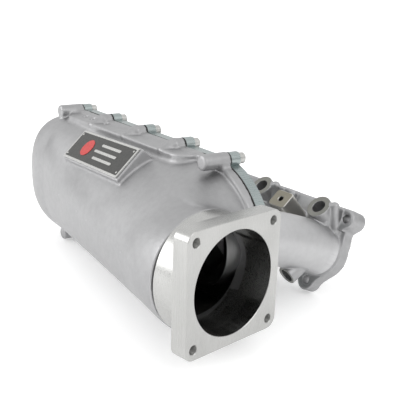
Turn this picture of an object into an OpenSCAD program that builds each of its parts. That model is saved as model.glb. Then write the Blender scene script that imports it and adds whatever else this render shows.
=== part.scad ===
/* [Throttle end] */
// Diameter of the throttle bore
throttle_bore_d = 90; // [70:1:92]
// Distance between the throttle bolts, along each side of their square
throttle_bolt_pitch = 88.9; // [86:0.1:90]
// Side length of the square throttle flange
throttle_flange_w = 108; // [106:1:112]
// Thickness of the throttle flange
throttle_flange_t = 16; // [12:1:18]
// Outer diameter of the round neck behind the throttle flange
neck_d = 108; // [104:1:108]
// Angle that the throttle flange is turned towards the engine
throttle_yaw = 9; // [6:1:10]

/* [Plenum] */
// Radius of the plenum's rim at the throttle end
rim_near_r = 73; // [71:1:75]
// Radius of the plenum's rim at the closed end
rim_far_r = 76; // [73:1:77]
// Depth of the plenum behind its rim at the throttle end
depth_near = 96; // [94:1:100]
// Depth of the plenum behind its rim at the closed end
depth_far = 56; // [54:1:66]
// Thickness of the cast plenum wall
wall = 6; // [5:0.5:7]
// Distance between neighbouring clamp screws
screw_pitch = 70.4; // [68:0.1:71]

/* [Runners] */
// Distance between neighbouring cylinders
cylinder_pitch = 90; // [89:0.5:92]
// Inner diameter of a runner
runner_bore_d = 46; // [40:1:47]
// Outer diameter of a runner
runner_d = 54; // [52:1:55]
// Length of a runner along its curve
runner_length = 125; // [110:1:130]
// Angle below level at which a runner leaves the plenum
runner_start = 10; // [8:1:12]
// Angle below level at which a runner meets the cylinder head
runner_end = 24; // [22:1:26]
// Diameter of the injector bores
injector_d = 14; // [13:0.5:15]
// Angle of the upper injectors from upright, leaning towards the plenum
injector_lean = 41; // [39:1:43]

/* [Hidden] */

$fn = 48;
GAP = 0.05;         // what keeps two touching round faces apart
PAST = 1;           // how far a cut runs past the face that it opens

// Frame: the origin is the centre of the throttle bore on the flange's face
SPLIT_X = 46;                       // face where the plenum meets its gasket
GASKET_T = 1;
PLATE_T = 10.5;
PLATE_X = SPLIT_X + GASKET_T;       // face of the plate that carries the stacks
BACK_X = PLATE_X + PLATE_T;         // face of the plate that carries the runners
MID_Y = 218;                        // middle of the row of cylinders
RIM_Z = 6;                          // height of the rim's middle line
RIM_REACH = 124;                    // from the middle to the centre of each round end
NEAR_Y = MID_Y - RIM_REACH;
FAR_Y = MID_Y + RIM_REACH;
RIM_CUT_Y = 34;                     // the rim is cut flat here, to clear the flange
RIM_T = 8;
SHELL_NEAR_Y = RIM_CUT_Y + 0.5;     // the shell starts just behind the rim's flat
RIM_LIP = 6;                        // how far the rim stands out from the shell
RIM_LAND = RIM_LIP + wall;          // width of the sealing face
SHELL_X = SPLIT_X - 2;              // the shell's curve starts inside the rim

CYLINDERS = [0, 1, 2, 3];
function cylinder_y(i) = MID_Y + (i - 1.5) * cylinder_pitch;
function side(i) = i < 2 ? -1 : 1;  // the two halves of the row mirror each other

// Throttle flange
THROTTLE_CORNER_R = 10;
THROTTLE_THREAD_R = 4;
THROTTLE_SEAT = 30;                 // length of the bore; behind it the way in is wider
BORE_STEP = 1.5;
NECK_END_Y = 40;                    // the neck stops inside the end wall
END_WALL_Y = NECK_END_Y + wall;     // inside of the end wall
NECK_GAP = 0.4;                     // between the neck and the rim
NECK_FLAT = 4;                      // the end wall reaches this far in front of the rim

// Clamp screws along the rim
SCREWS = [-2, -1, 0, 1, 2];
SCREW_TOP_Z = 80.5;
SCREW_BOTTOM_Z = 2 * RIM_Z - SCREW_TOP_Z;
BOSS_R = 6.75;
SCREW_R = 3;
SCREW_CLEAR_R = 3.3;
SCREW_HEAD_R = 5;
SCREW_HEAD_T = 6;
SCREW_HEX_R = 2.9;
SCREW_HEX_DEPTH = 3;
WASHER_R = 6.25;
WASHER_T = 1.2;
THREAD_DEPTH = 22;
SCREW_IN_BOSS = 18;
BOSS_END_X = 23;                    // where the long bosses at the two ends start
BOSS_MID_X = 27;                    // where the three short bosses start

// Stiffening rails along the shell
RAIL_X = 20;
RAIL_NEAR_Y = 112;
RAIL_FAR_Y = 352;
RAIL_TOP_Z = 79;
RAIL_T = 16;
PORTS = [[325, 7], [308, 6.5], [277, 6]];   // y and depth of the vacuum ports
PORT_X = 34;
PORT_R = 3;

// Nameplate
PLATE_L = 126;
PLATE_H = 36;
NAME_T = 1.6;
NAME_FIELD_T = 0.5;
NAME_BORDER = 2.2;
NAME_POS = [-5.8, 216, 63.3];
NAME_LEAN = 43.5;                   // the nameplate's face leans this far from level
NAME_DIP = 2.7;                     // and its far end dips and swings in with the taper
NAME_SWING = 3.4;
PAD_MARGIN = 1.5;
PAD_T = 20;
PIN_R = 1.2;
PIN_INSET = 5;
PIN_DEPTH = 5;
EMBLEM_T = 0.4;

// Velocity stacks
STACK_H = 22;
STACK_BASE_R = 43;
STACK_LIP_R = 41;
STACK_EDGE = 2;
SPIGOT_R = 27;

// Runners: arcs about an axis below them
BEND_R = runner_length / ((runner_end - runner_start) * PI / 180);
BEND_X = BACK_X - BEND_R * sin(runner_start);
BEND_Z = RIM_Z - BEND_R * cos(runner_start);
ARC_SPARE = 1;                      // degrees of arc that the plate's face cuts off

// Head flange: its plane passes through the ends of the runners
HEAD_X = BEND_X + BEND_R * sin(runner_end);
HEAD_Z = BEND_Z + BEND_R * cos(runner_end);
HEAD_T = 13;
HEAD_TOP = 49;
HEAD_WEB = -12;
HEAD_PORT_R = 29;
STUD_R = 4.4;
STUD_TOP = 39;
STUD_BOTTOM = -34;
STUD_TOP_OFFSET = 24;
STUD_BOTTOM_OFFSET = 2;
LUG_R = 10;
LOWER_LUG_R = 11;

// Ribs that flank the upper studs
RIB_OFFSET = 15;
RIB_R = 4.5;
RIB_WEB = 8;
RIB_TOP = [180, 19];
RIB_FOOT = [187.5, -24];            // buried in the flange

// Injector bosses
INJECTOR_X = 171;
INJECTOR_Z = 17;
INJECTOR_R = 13;
INJECTOR_BORE_DEPTH = 18;
INJECTOR_JET_R = 5;
INJECTOR_LONG = 60;                 // long enough to reach past the head flange
LOWER_X = 127;
LOWER_Z = -47;
LOWER_R = 10;
LOWER_LEAN = 120;                   // its axis points back and down
LOWER_BORE_DEPTH = 12;
LOWER_JET_R = 4;
LOWER_JET_LENGTH = 30;
LOWER_OFFSET = 7;

// Fuel rail posts
POSTS = [-1, 1];
POST_X = 160;
POST_Z = 15;
POST_W = 24;
POST_D = 20;
POST_CORNER = 4;
POST_THREAD_R = 3;
POST_THREAD_DEPTH = 16;

FAR = 400;                          // size of a cutting block

// ---------- shared shapes ----------

// Lays a drawing in the plane of the rim and thickens it towards +X
module rim_slab(x, t) {
    translate([x, 0, 0])
        rotate([90, 0, 90])
            linear_extrude(t) children();
}

// The rim's outline, pulled in by an inset: straight flanks with round ends, cut flat at
// the throttle end
module rim_outline(inset) {
    near = rim_near_r - inset;
    far = rim_far_r - inset;
    intersection() {
        translate([0, RIM_Z]) union() {
            translate([NEAR_Y, 0]) circle(near, $fn = 96);
            translate([FAR_Y, 0]) circle(far, $fn = 96);
            polygon([[NEAR_Y, -near], [FAR_Y, -far], [FAR_Y, far], [NEAR_Y, near]]);
        }
        translate([RIM_CUT_Y + inset, -FAR / 2]) square([2 * FAR, FAR]);
    }
}

module at_screws() {
    for (z = [SCREW_TOP_Z, SCREW_BOTTOM_Z])
        for (i = SCREWS)
            translate([0, MID_Y + i * screw_pitch, z]) children();
}

// A round bar along +X, from x to x + l
module bar_x(x, l, r) {
    translate([x, 0, 0]) rotate([0, 90, 0]) cylinder(l, r, r);
}

// Puts a shape drawn along +Y onto the throttle's turned axis
module on_throttle() {
    rotate([0, 0, throttle_yaw]) rotate([-90, 0, 0]) children();
}

module rounded_square(w, d, r) {
    square([w, d - 2 * r], center = true);
    square([w - 2 * r, d], center = true);
    for (sx = [-1, 1])
        for (sy = [-1, 1])
            translate([sx * (w / 2 - r), sy * (d / 2 - r)]) circle(r);
}

// ---------- plenum ----------

function smooth(u) = u * u * (3 - 2 * u);
function mix(a, b, w) = a + (b - a) * w;
function power(v, p) = sign(v) * pow(abs(v), p);
function along(y) = (y - NEAR_Y) / (FAR_Y - NEAR_Y);
function depth(y) = mix(depth_near, depth_far, along(y));
function half_height(y) = mix(rim_near_r, rim_far_r, along(y)) - RIM_LIP;

SECTION_STEPS = 30;
LOW_POWER = 0.8;                    // squareness of the section's lower half
TOP_POWER = 1.1;                    // its upper half is flatter, to carry the nameplate,
TOP_FAR_POWER = 0.75;               // and turns squarer towards the closed end
TOP_TURN_Y = 250;                   // where it starts to turn
DOME_POWER = 3;                     // squareness of the closed end
NECK_BLEND_Y = 92;                  // the section turns round towards the throttle from here
NECK_X = -6;                        // middle of the round section at the throttle end

function top_power(y) =
    mix(TOP_POWER, TOP_FAR_POWER, smooth(min(1, max(0, (y - TOP_TURN_Y) / (FAR_Y - TOP_TURN_Y)))));

// One point of the plenum's section at y: d deep, half high, u from 0 at the top to 1 at the bottom
function hump(y, d, half, u) =
    let (a = 180 * u, p = u < 0.5 ? top_power(y) : LOW_POWER)
    [SHELL_X - d * power(sin(a), p), RIM_Z + half * power(cos(a), p)];

// Angle at which a line from the rim, rise away from level, touches a round of radius r
function tangent(r, rise) =
    atan2(rise, SHELL_X - NECK_X) + acos(min(1, r / norm([SHELL_X - NECK_X, rise])));

// One point of the throttle end's section: straight flanks that run into a round back
function round_end(r, half, u) =
    let (
        top = tangent(r, half + RIM_Z),
        low = 360 - tangent(r, half - RIM_Z),
        a = u < 0.2
            ? mix(top, 90, max(0, u - 0.1) / 0.1)
            : u > 0.8
                ? mix(270, low, min(0.1, u - 0.8) / 0.1)
                : 90 + 180 * (u - 0.2) / 0.6,
        rim = [SHELL_X, RIM_Z + half * (u < 0.5 ? 1 : -1)],
        flank = max(0, 0.1 - min(u, 1 - u)) / 0.1
    )
    mix([NECK_X + r * cos(a), r * sin(a)], rim, flank);

// The section at y, pulled in by the wall thickness t, closed at x
function section(y, t, x) =
    let (
        near = max(0, NEAR_Y - y) / rim_near_r,
        far = max(0, y - FAR_Y) / (half_height(FAR_Y) - t),
        shrink = pow(1 - pow(far, DOME_POWER), 1 / DOME_POWER),
        half = y < NEAR_Y
            ? rim_near_r * sqrt(1 - near * near) - RIM_LIP - t
            : (half_height(min(y, FAR_Y)) - t) * shrink,
        deep = (depth(min(y, FAR_Y)) - t) * shrink,
        w = smooth(min(1, max(0, (NECK_BLEND_Y - y) / (NECK_BLEND_Y - RIM_CUT_Y)))),
        ring = [for (i = [0:SECTION_STEPS])
            let (u = i / SECTION_STEPS)
            mix(hump(y, deep, half, u), round_end(neck_d / 2 + wall / 2 - t, half, u), w)]
    )
    concat(
        [[x, y, ring[0][1]]],
        [for (p = ring) [p[0], y, p[1]]],
        [[x, y, ring[SECTION_STEPS][1]]]
    );

// Joins rings of points into one closed skin
module loft(rings) {
    n = len(rings[0]);
    last = len(rings) - 1;
    points = [for (ring = rings) for (p = ring) p];
    sides = [for (k = [0:last - 1]) for (i = [0:n - 1])
        [k * n + i, k * n + (i + 1) % n, (k + 1) * n + (i + 1) % n, (k + 1) * n + i]];
    triangles = [for (q = sides) each [[q[0], q[1], q[2]], [q[0], q[2], q[3]]]];
    caps = [[for (i = [n - 1:-1:0]) i], [for (i = [0:n - 1]) last * n + i]];
    polyhedron(points, concat(triangles, caps));
}

function stations(first, t) = concat(
    [for (i = [0:6]) first + (NEAR_Y - first) * i / 6],
    [for (a = [0:11:88]) FAR_Y + (half_height(FAR_Y) - t) * sin(a)]
);

module shell_outside() {
    loft([for (y = stations(SHELL_NEAR_Y, 0)) section(y, 0, SPLIT_X - PAST)]);
}

module shell_inside() {
    loft([for (y = stations(END_WALL_Y, wall)) section(y, wall, SPLIT_X + PAST)]);
}

// A bar along the throttle's axis, from depth z on
module throttle_bar(r, z) {
    on_throttle() translate([0, 0, z]) cylinder(neck_d, r, r, $fn = 96);
}

// The neck's outer form: it stops inside the end wall and clear of the rim
module neck_form() {
    difference() {
        on_throttle() cylinder(neck_d, neck_d / 2, neck_d / 2, $fn = 96);
        translate([-FAR / 2, NECK_END_Y, -FAR / 2]) cube([FAR, FAR, FAR]);
        translate([SPLIT_X - RIM_T - NECK_FLAT, RIM_CUT_Y - NECK_GAP, -FAR / 2])
            cube([FAR, FAR, FAR]);
    }
}

module on_nameplate() {
    translate(NAME_POS)
        rotate([0, 0, -NAME_SWING])
            rotate([-NAME_DIP, 0, 0])
                rotate([0, -NAME_LEAN, 0]) children();
}

// Blind round boss on the shell for one clamp screw
module screw_boss(x) {
    bar_x(x, SPLIT_X - x, BOSS_R);
    translate([x, 0, 0]) sphere(BOSS_R);
}

module rail(z) {
    translate([RAIL_X, RAIL_NEAR_Y, z])
        cube([SPLIT_X - RAIL_X, RAIL_FAR_Y - RAIL_NEAR_Y, RAIL_T]);
}

module plenum_shell() color("silver") {
    difference() {
        union() {
            shell_outside();
            rim_slab(SPLIT_X - RIM_T, RIM_T) rim_outline(0);
            rail(RAIL_TOP_Z - RAIL_T);
            rail(2 * RIM_Z - RAIL_TOP_Z);
            for (z = [SCREW_TOP_Z, SCREW_BOTTOM_Z])
                for (i = SCREWS)
                    translate([0, MID_Y + i * screw_pitch, z])
                        screw_boss(abs(i) == 2 ? BOSS_END_X : BOSS_MID_X);
            on_nameplate() translate([-PLATE_H / 2 - PAD_MARGIN, -PLATE_L / 2 - PAD_MARGIN, -PAD_T])
                cube([PLATE_H + 2 * PAD_MARGIN, PLATE_L + 2 * PAD_MARGIN, PAD_T]);
        }
        shell_inside();
        neck_form();
        intersection() {
            throttle_bar(throttle_bore_d / 2 + BORE_STEP, 0);
            translate([-FAR / 2, 0, -FAR / 2]) cube([FAR, END_WALL_Y + PAST, FAR]);
        }
        at_screws() bar_x(SPLIT_X - THREAD_DEPTH, THREAD_DEPTH + PAST, SCREW_R);
        for (port = PORTS)
            translate([PORT_X, port[0], RAIL_TOP_Z - port[1]])
                cylinder(port[1] + PAST, PORT_R, PORT_R);
        nameplate_pin_bars(PIN_R);
    }
}

module throttle_flange() color("gainsboro") {
    difference() {
        union() {
            on_throttle() linear_extrude(throttle_flange_t)
                rounded_square(throttle_flange_w, throttle_flange_w, THROTTLE_CORNER_R);
            neck_form();
        }
        throttle_bar(throttle_bore_d / 2, -PAST);
        throttle_bar(throttle_bore_d / 2 + BORE_STEP, THROTTLE_SEAT);
        on_throttle()
            for (sx = [-1, 1])
                for (sz = [-1, 1])
                    translate([sx * throttle_bolt_pitch / 2, sz * throttle_bolt_pitch / 2, -PAST])
                        cylinder(throttle_flange_t + 2 * PAST, THROTTLE_THREAD_R, THROTTLE_THREAD_R);
    }
}

module plenum_gasket() color("dimgray") {
    rim_slab(SPLIT_X, GASKET_T) difference() {
        union() {
            rim_outline(0);
            screw_circles(BOSS_R);
        }
        rim_outline(RIM_LAND);
        screw_circles(SCREW_CLEAR_R);
    }
}

module screw_circles(r) {
    for (z = [SCREW_TOP_Z, SCREW_BOTTOM_Z])
        for (i = SCREWS)
            translate([MID_Y + i * screw_pitch, z]) circle(r);
}

// ---------- runner side ----------

module runner_plate() color("lightsteelblue") {
    rim_slab(PLATE_X, PLATE_T) difference() {
        union() {
            rim_outline(0);
            screw_circles(BOSS_R);
        }
        screw_circles(SCREW_CLEAR_R);
        for (i = CYLINDERS)
            translate([cylinder_y(i), RIM_Z]) circle(SPIGOT_R + GAP);
    }
}

STACK_STEPS = 12;

module velocity_stack(i) color("gray") {
    bore = runner_bore_d / 2;
    mouth = STACK_LIP_R - STACK_EDGE;
    flare = [for (k = [0:STACK_STEPS])
        let (a = 90 * k / STACK_STEPS)
        [bore + (mouth - bore) * (1 - cos(a)), PLATE_T + STACK_H * sin(a)]];
    lip = [for (k = [1:5])
        let (a = 180 - 36 * k)
        [mouth + STACK_EDGE / 2 * (1 + cos(a)), PLATE_T + STACK_H + STACK_EDGE / 2 * sin(a)]];
    profile = concat([[bore, 0]], flare, lip,
                     [[STACK_BASE_R, PLATE_T], [SPIGOT_R, PLATE_T], [SPIGOT_R, 0]]);
    translate([BACK_X, cylinder_y(i), RIM_Z])
        rotate([0, -90, 0]) rotate_extrude($fn = 96) polygon(profile);
}

// A solid arc of radius r along the path of runner i
module runner_arc(i, r, spare = ARC_SPARE, past = 0) {
    translate([BEND_X, cylinder_y(i), BEND_Z])
        rotate([-90, 0, 0])
            rotate([0, 0, runner_start - spare - 90])
                rotate_extrude(angle = runner_end - runner_start + spare + past, $fn = 480)
                    translate([BEND_R, 0]) circle(r, $fn = 64);
}

module runner(i) color("silver") {
    difference() {
        runner_arc(i, runner_d / 2);
        runner_arc(i, runner_bore_d / 2, 2 * ARC_SPARE, ARC_SPARE);
        translate([BACK_X - FAR, -FAR, -FAR]) cube([FAR, 4 * FAR, 2 * FAR]);
        lower_injector_pocket(i);
    }
}

// Places a shape on the head flange: drawing x runs along the row, drawing y up the
// flange from the middle line of the ports, and the third axis towards the head
module on_head() {
    translate([HEAD_X, 0, HEAD_Z]) rotate([0, runner_end, 0]) rotate([90, 0, 90]) children();
}

function stud_y(i) = cylinder_y(i) + side(i) * STUD_TOP_OFFSET;
function lower_stud_y(i) = cylinder_y(i) - side(i) * STUD_BOTTOM_OFFSET;

module head_outline() {
    first = stud_y(0);
    last = stud_y(3);
    translate([first, STUD_TOP - LUG_R]) square([last - first, 2 * LUG_R]);
    for (y = [first, last])
        translate([y, STUD_TOP]) circle(LUG_R);
    translate([cylinder_y(0), HEAD_WEB]) square([3 * cylinder_pitch, STUD_TOP - HEAD_WEB]);
    for (i = CYLINDERS) {
        translate([cylinder_y(i), 0]) circle(HEAD_PORT_R);
        translate([cylinder_y(i) - HEAD_PORT_R, 0]) square([2 * HEAD_PORT_R, STUD_TOP - LUG_R]);
        translate([lower_stud_y(i), STUD_BOTTOM]) circle(LOWER_LUG_R);
        translate([lower_stud_y(i) - LOWER_LUG_R, STUD_BOTTOM])
            square([2 * LOWER_LUG_R, -STUD_BOTTOM]);
    }
    for (k = [0, 1])
        translate([k == 0 ? first - LUG_R : last - LUG_R, STUD_TOP - LUG_R])
            square([2 * LUG_R, LUG_R]);
}

// A point on the back face of the flange at height v
function head_back(v) = [HEAD_X + v * sin(runner_end), HEAD_Z + v * cos(runner_end)];

module rib(i) {
    y = cylinder_y(i) + side(i) * RIB_OFFSET;
    run = RIB_TOP - RIB_FOOT;
    lean = atan2(run[0], run[1]);
    top = head_back(HEAD_TOP - PAST) + [PAST, 0];
    translate([0, y + RIB_WEB / 2, 0]) rotate([90, 0, 0]) linear_extrude(RIB_WEB)
        polygon([RIB_TOP, RIB_FOOT, top]);
    translate([RIB_FOOT[0], y, RIB_FOOT[1]]) rotate([0, lean, 0])
        cylinder(norm(run), RIB_R, RIB_R);
}

module head_flange() color("silver") {
    difference() {
        union() {
            on_head() linear_extrude(HEAD_T) head_outline();
            for (i = CYLINDERS)
                difference() {
                    rib(i);
                    runner_arc(i, runner_d / 2, ARC_SPARE, ARC_SPARE);
                    injector_axis(i) translate([0, 0, -INJECTOR_LONG])
                        cylinder(2 * INJECTOR_LONG, INJECTOR_R, INJECTOR_R);
                }
        }
        on_head() translate([0, 0, -PAST]) linear_extrude(HEAD_T + 2 * PAST) {
            for (i = CYLINDERS) {
                translate([cylinder_y(i), 0]) circle(runner_bore_d / 2);
                translate([stud_y(i), STUD_TOP]) circle(STUD_R);
                translate([lower_stud_y(i), STUD_BOTTOM]) circle(STUD_R);
            }
        }
        for (i = CYLINDERS)
            injector_axis(i) translate([0, 0, -INJECTOR_LONG])
                cylinder(INJECTOR_LONG, INJECTOR_JET_R, INJECTOR_JET_R);
    }
}

// The upper injector's axis, with its face at the origin
module injector_axis(i) {
    translate([INJECTOR_X, cylinder_y(i), INJECTOR_Z]) rotate([0, -injector_lean, 0]) children();
}

// The lower injector's axis, with its face at the origin
module lower_injector_axis(i) {
    translate([LOWER_X, cylinder_y(i) + side(i) * LOWER_OFFSET, LOWER_Z])
        rotate([0, -LOWER_LEAN, 0]) children();
}

// Everything on the head's side of the flange's back face
module beyond_head() {
    on_head() translate([-FAR, -FAR, 0]) cube([4 * FAR, 2 * FAR, FAR]);
}

module injector_boss(i) color("darkgray") {
    bore = injector_d / 2;
    difference() {
        injector_axis(i) translate([0, 0, -INJECTOR_LONG])
            cylinder(INJECTOR_LONG, INJECTOR_R, INJECTOR_R);
        beyond_head();
        runner_arc(i, runner_d / 2, ARC_SPARE, ARC_SPARE);
        injector_axis(i) {
            translate([0, 0, -INJECTOR_BORE_DEPTH]) cylinder(INJECTOR_BORE_DEPTH + PAST, bore, bore);
            translate([0, 0, -INJECTOR_LONG])
                cylinder(INJECTOR_LONG, INJECTOR_JET_R, INJECTOR_JET_R);
        }
    }
}

// The lower injector's bore and the passage from it into the runner
module lower_injector_pocket(i) {
    bore = injector_d / 2;
    lower_injector_axis(i) {
        translate([0, 0, -LOWER_BORE_DEPTH]) cylinder(LOWER_BORE_DEPTH + PAST, bore, bore);
        translate([0, 0, -LOWER_JET_LENGTH])
            cylinder(LOWER_JET_LENGTH, LOWER_JET_R, LOWER_JET_R);
    }
}

module lower_injector_boss(i) color("darkgray") {
    difference() {
        lower_injector_axis(i) translate([0, 0, -INJECTOR_LONG])
            cylinder(INJECTOR_LONG, LOWER_R, LOWER_R);
        beyond_head();
        runner_arc(i, runner_d / 2, ARC_SPARE, ARC_SPARE);
        lower_injector_pocket(i);
    }
}

module fuel_rail_post(k) color("tan") {
    difference() {
        translate([POST_X, MID_Y + k * cylinder_pitch, POST_Z]) rotate([0, -injector_lean, 0])
            difference() {
                translate([0, 0, -INJECTOR_LONG]) linear_extrude(INJECTOR_LONG)
                    rounded_square(POST_D, POST_W, POST_CORNER);
                translate([0, 0, -POST_THREAD_DEPTH])
                    cylinder(POST_THREAD_DEPTH + PAST, POST_THREAD_R, POST_THREAD_R);
            }
        beyond_head();
    }
}

// ---------- fasteners ----------

module clamp_screws() color("dimgray") {
    head = BACK_X + WASHER_T;
    tip = SPLIT_X - SCREW_IN_BOSS;
    at_screws() difference() {
        union() {
            bar_x(tip, head - tip, SCREW_R - GAP);
            bar_x(head, SCREW_HEAD_T, SCREW_HEAD_R);
        }
        translate([head + SCREW_HEAD_T - SCREW_HEX_DEPTH, 0, 0]) rotate([0, 90, 0])
            cylinder(SCREW_HEX_DEPTH + PAST, SCREW_HEX_R, SCREW_HEX_R, $fn = 6);
    }
}

module clamp_washers() color("silver") {
    at_screws() difference() {
        bar_x(BACK_X, WASHER_T, WASHER_R);
        bar_x(BACK_X - PAST, WASHER_T + 2 * PAST, SCREW_CLEAR_R);
    }
}

// ---------- nameplate ----------

module nameplate_pin_bars(r) {
    on_nameplate()
        for (sx = [-1, 1])
            for (sy = [-1, 1])
                translate([sx * (PLATE_H / 2 - PIN_INSET), sy * (PLATE_L / 2 - PIN_INSET), -PIN_DEPTH])
                    cylinder(PIN_DEPTH + NAME_T, r, r, $fn = 24);
}

module nameplate() color("silver") {
    difference() {
        on_nameplate() difference() {
            translate([-PLATE_H / 2, -PLATE_L / 2, 0]) cube([PLATE_H, PLATE_L, NAME_T]);
            translate([-PLATE_H / 2 + NAME_BORDER, -PLATE_L / 2 + NAME_BORDER, NAME_T - NAME_FIELD_T])
                cube([PLATE_H - 2 * NAME_BORDER, PLATE_L - 2 * NAME_BORDER, PAST]);
        }
        nameplate_pin_bars(PIN_R);
    }
}

module nameplate_field() color("black") {
    difference() {
        on_nameplate()
            translate([-PLATE_H / 2 + NAME_BORDER, -PLATE_L / 2 + NAME_BORDER, NAME_T - NAME_FIELD_T])
                cube([PLATE_H - 2 * NAME_BORDER, PLATE_L - 2 * NAME_BORDER, NAME_FIELD_T]);
        nameplate_pin_bars(PIN_R);
    }
}

EMBLEM_Y = 28;
EMBLEM_R = 10;

// A plain round emblem with three bars beside it
module nameplate_emblem() color("firebrick") {
    on_nameplate() translate([0, 0, NAME_T]) {
        translate([0, EMBLEM_Y, 0]) cylinder(EMBLEM_T, EMBLEM_R, EMBLEM_R);
        for (k = [-1, 0, 1])
            translate([k * 8 - 1.5, -38, 0]) cube([3, 48 - 6 * abs(k), EMBLEM_T]);
    }
}

module nameplate_pins() color("gainsboro") {
    nameplate_pin_bars(PIN_R - GAP);
}

plenum_shell();
throttle_flange();
plenum_gasket();
runner_plate();
velocity_stack(0);  // velocity_stack_1
velocity_stack(1);  // velocity_stack_2
velocity_stack(2);  // velocity_stack_3
velocity_stack(3);  // velocity_stack_4
runner(0);  // runner_1
runner(1);  // runner_2
runner(2);  // runner_3
runner(3);  // runner_4
head_flange();
injector_boss(0);  // injector_boss_1
injector_boss(1);  // injector_boss_2
injector_boss(2);  // injector_boss_3
injector_boss(3);  // injector_boss_4
lower_injector_boss(0);  // lower_injector_boss_1
lower_injector_boss(1);  // lower_injector_boss_2
lower_injector_boss(2);  // lower_injector_boss_3
lower_injector_boss(3);  // lower_injector_boss_4
fuel_rail_post(-1);  // fuel_rail_post_1
fuel_rail_post(1);  // fuel_rail_post_2
clamp_screws();
clamp_washers();
nameplate();
nameplate_field();
nameplate_emblem();
nameplate_pins();
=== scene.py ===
import math

import bmesh
import bpy
import numpy as np
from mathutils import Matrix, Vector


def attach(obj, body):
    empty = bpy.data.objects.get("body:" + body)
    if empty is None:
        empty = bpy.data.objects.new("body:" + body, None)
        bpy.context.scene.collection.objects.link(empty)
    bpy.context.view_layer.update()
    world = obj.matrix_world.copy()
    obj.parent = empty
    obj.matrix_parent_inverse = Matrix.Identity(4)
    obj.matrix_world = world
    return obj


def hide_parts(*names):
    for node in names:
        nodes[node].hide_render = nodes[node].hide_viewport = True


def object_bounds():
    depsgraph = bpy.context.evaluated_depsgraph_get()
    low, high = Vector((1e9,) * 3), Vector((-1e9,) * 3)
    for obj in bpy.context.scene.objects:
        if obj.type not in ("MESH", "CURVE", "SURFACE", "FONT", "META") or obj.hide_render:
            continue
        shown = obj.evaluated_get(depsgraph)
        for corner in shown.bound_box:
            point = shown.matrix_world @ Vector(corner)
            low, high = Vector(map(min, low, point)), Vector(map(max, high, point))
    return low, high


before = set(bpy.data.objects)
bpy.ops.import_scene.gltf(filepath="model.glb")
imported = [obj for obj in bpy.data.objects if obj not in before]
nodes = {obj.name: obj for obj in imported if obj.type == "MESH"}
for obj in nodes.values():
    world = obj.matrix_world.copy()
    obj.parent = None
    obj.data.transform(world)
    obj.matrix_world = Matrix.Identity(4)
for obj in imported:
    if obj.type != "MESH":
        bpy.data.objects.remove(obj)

import openvdb
from mathutils import Matrix, Vector

cad_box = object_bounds()

# Sizes and places are in millimetres; meshes are scaled to metres when they are made.
MM = 0.001
SPLIT_X = 46.0
PLATE_X = 47.0
BACK_X = 57.5
MID_Y = 218.0
RIM_Z = 6.0
NEAR_Y = 94.0
FAR_Y = 342.0
RIM_NEAR_R = 73.0
RIM_FAR_R = 76.0
RIM_CUT_Y = 34.0
SHELL_NEAR_Y = 32.0
RIM_T = 8.0
RIM_LIP = 6.0
WALL = 6.0
SHELL_X = 44.0
DEPTH_NEAR = 96.0
DEPTH_FAR = 56.0
NECK_R = 54.0
NECK_X = -6.0
NECK_BLEND_Y = 92.0
END_WALL_Y = 46.0
LOW_POWER = 0.8
TOP_POWER = 1.1
TOP_FAR_POWER = 0.75
TOP_TURN_Y = 250.0
DOME_POWER = 3.0
CYLINDERS_Y = [83.0, 173.0, 263.0, 353.0]
SIDES = [-1, -1, 1, 1]
SCREWS_Y = [MID_Y + i * 70.4 for i in range(-2, 3)]
SCREW_Z = {1: 80.5, -1: -68.5}
BOSS_R = 6.75
END_BOSS_R = 7.3
THROTTLE_YAW = math.radians(9)
BORE_R = 45.0
BOLT_PITCH = 88.9
BOLT_R = 4.0
FLANGE_W = 108.0
FLANGE_T = 16.0
FLANGE_CORNER = 10.0
RUNNER_R = 27.0
RUNNER_BORE = 23.0
BEND_R = 125 / math.radians(14)
BEND_X = BACK_X - BEND_R * math.sin(math.radians(10))
BEND_Z = RIM_Z - BEND_R * math.cos(math.radians(10))
HEAD_ANGLE = math.radians(24)
HEAD_X = BEND_X + BEND_R * math.sin(HEAD_ANGLE)
HEAD_Z = BEND_Z + BEND_R * math.cos(HEAD_ANGLE)
HEAD_T = 13.0
INJECTOR_LEAN = math.radians(41)
LOWER_LEAN = math.radians(120)


# ---------- solids on a grid of distances ----------

def smooth_min(a, b, k):
    """The lower of two distances, with a fillet of about radius k where they meet."""
    if k == 0:
        return np.minimum(a, b)
    h = np.maximum(k - np.abs(a - b), 0) / k
    return np.minimum(a, b) - h * h * k / 4


def smooth_max(a, b, k):
    return -smooth_min(-a, -b, k)


def unit(v):
    v = np.array(v, float)
    return v / np.linalg.norm(v)


def along(p, origin, axis):
    """How far each point lies along an axis from an origin."""
    return sum((p[i] - origin[i]) * axis[i] for i in range(3))


def rounded(a, b, edge):
    """Where two distances are both below zero, with its outer edge rounded."""
    a = a + edge
    b = b + edge
    outside = np.hypot(np.maximum(a, 0), np.maximum(b, 0))
    return np.minimum(np.maximum(a, b), 0) + outside - edge


def bar(origin, axis, radius, low, high, edge=0.0):
    """A round bar along an axis, from low to high."""
    axis = unit(axis)

    def distance(p):
        t = along(p, origin, axis)
        reach = sum((p[i] - origin[i]) ** 2 for i in range(3)) - t * t
        side = np.sqrt(np.maximum(reach, 0)) - radius
        return rounded(side, np.abs(t - (low + high) / 2) - (high - low) / 2, edge)
    return distance


def capsule(start, end, start_r, end_r):
    """A bar with round ends that may taper."""
    start = np.array(start, float)
    run = np.array(end, float) - start
    length = np.linalg.norm(run)

    def distance(p):
        t = np.clip(along(p, start, run / length) / length, 0, 1)
        reach = sum((p[i] - start[i] - run[i] * t) ** 2 for i in range(3))
        return np.sqrt(reach) - (start_r + (end_r - start_r) * t)
    return distance


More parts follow.
